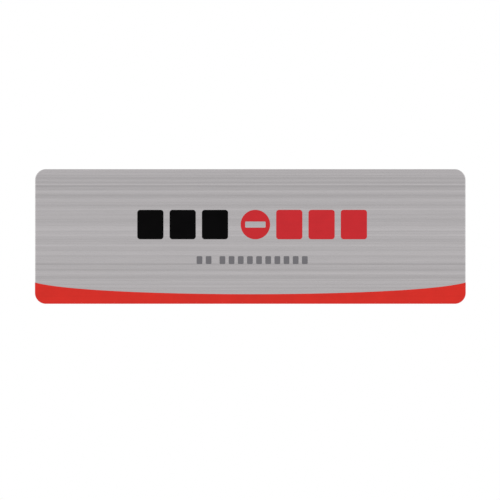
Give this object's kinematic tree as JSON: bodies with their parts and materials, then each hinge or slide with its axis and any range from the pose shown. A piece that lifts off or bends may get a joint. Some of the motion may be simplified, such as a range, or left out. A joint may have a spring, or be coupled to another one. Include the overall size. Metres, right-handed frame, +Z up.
{
  "type": "no entry sign",
  "caption": "Flat brushed metal sign plate with rounded corners, a curved red band along its lower edge, printed fields in black, red and grey, and foam tape on its back.",
  "frame": {"origin": "centre of the wall face of the middle foam tape, on the plane of the wall", "axes": "+X along the sign's length, to the right as it is read; +Y into the wall; +Z up; the front faces -Y"},
  "size_m": [0.2402, 0.0026, 0.0751],
  "materials": {
    "brushed_metal": "satin",
    "red_ink": "satin",
    "black_ink": "satin",
    "grey_ink": "satin",
    "foam_tape": "matte"
  },
  "bodies": {
    "root": {"sign_plate": "brushed_metal", "red_band": "red_ink", "black_legend": "black_ink", "red_legend": "red_ink", "grey_subtitle": "grey_ink", "tape_left": "foam_tape", "tape_middle": "foam_tape", "tape_right": "foam_tape"}
  },
  "joints": []
}
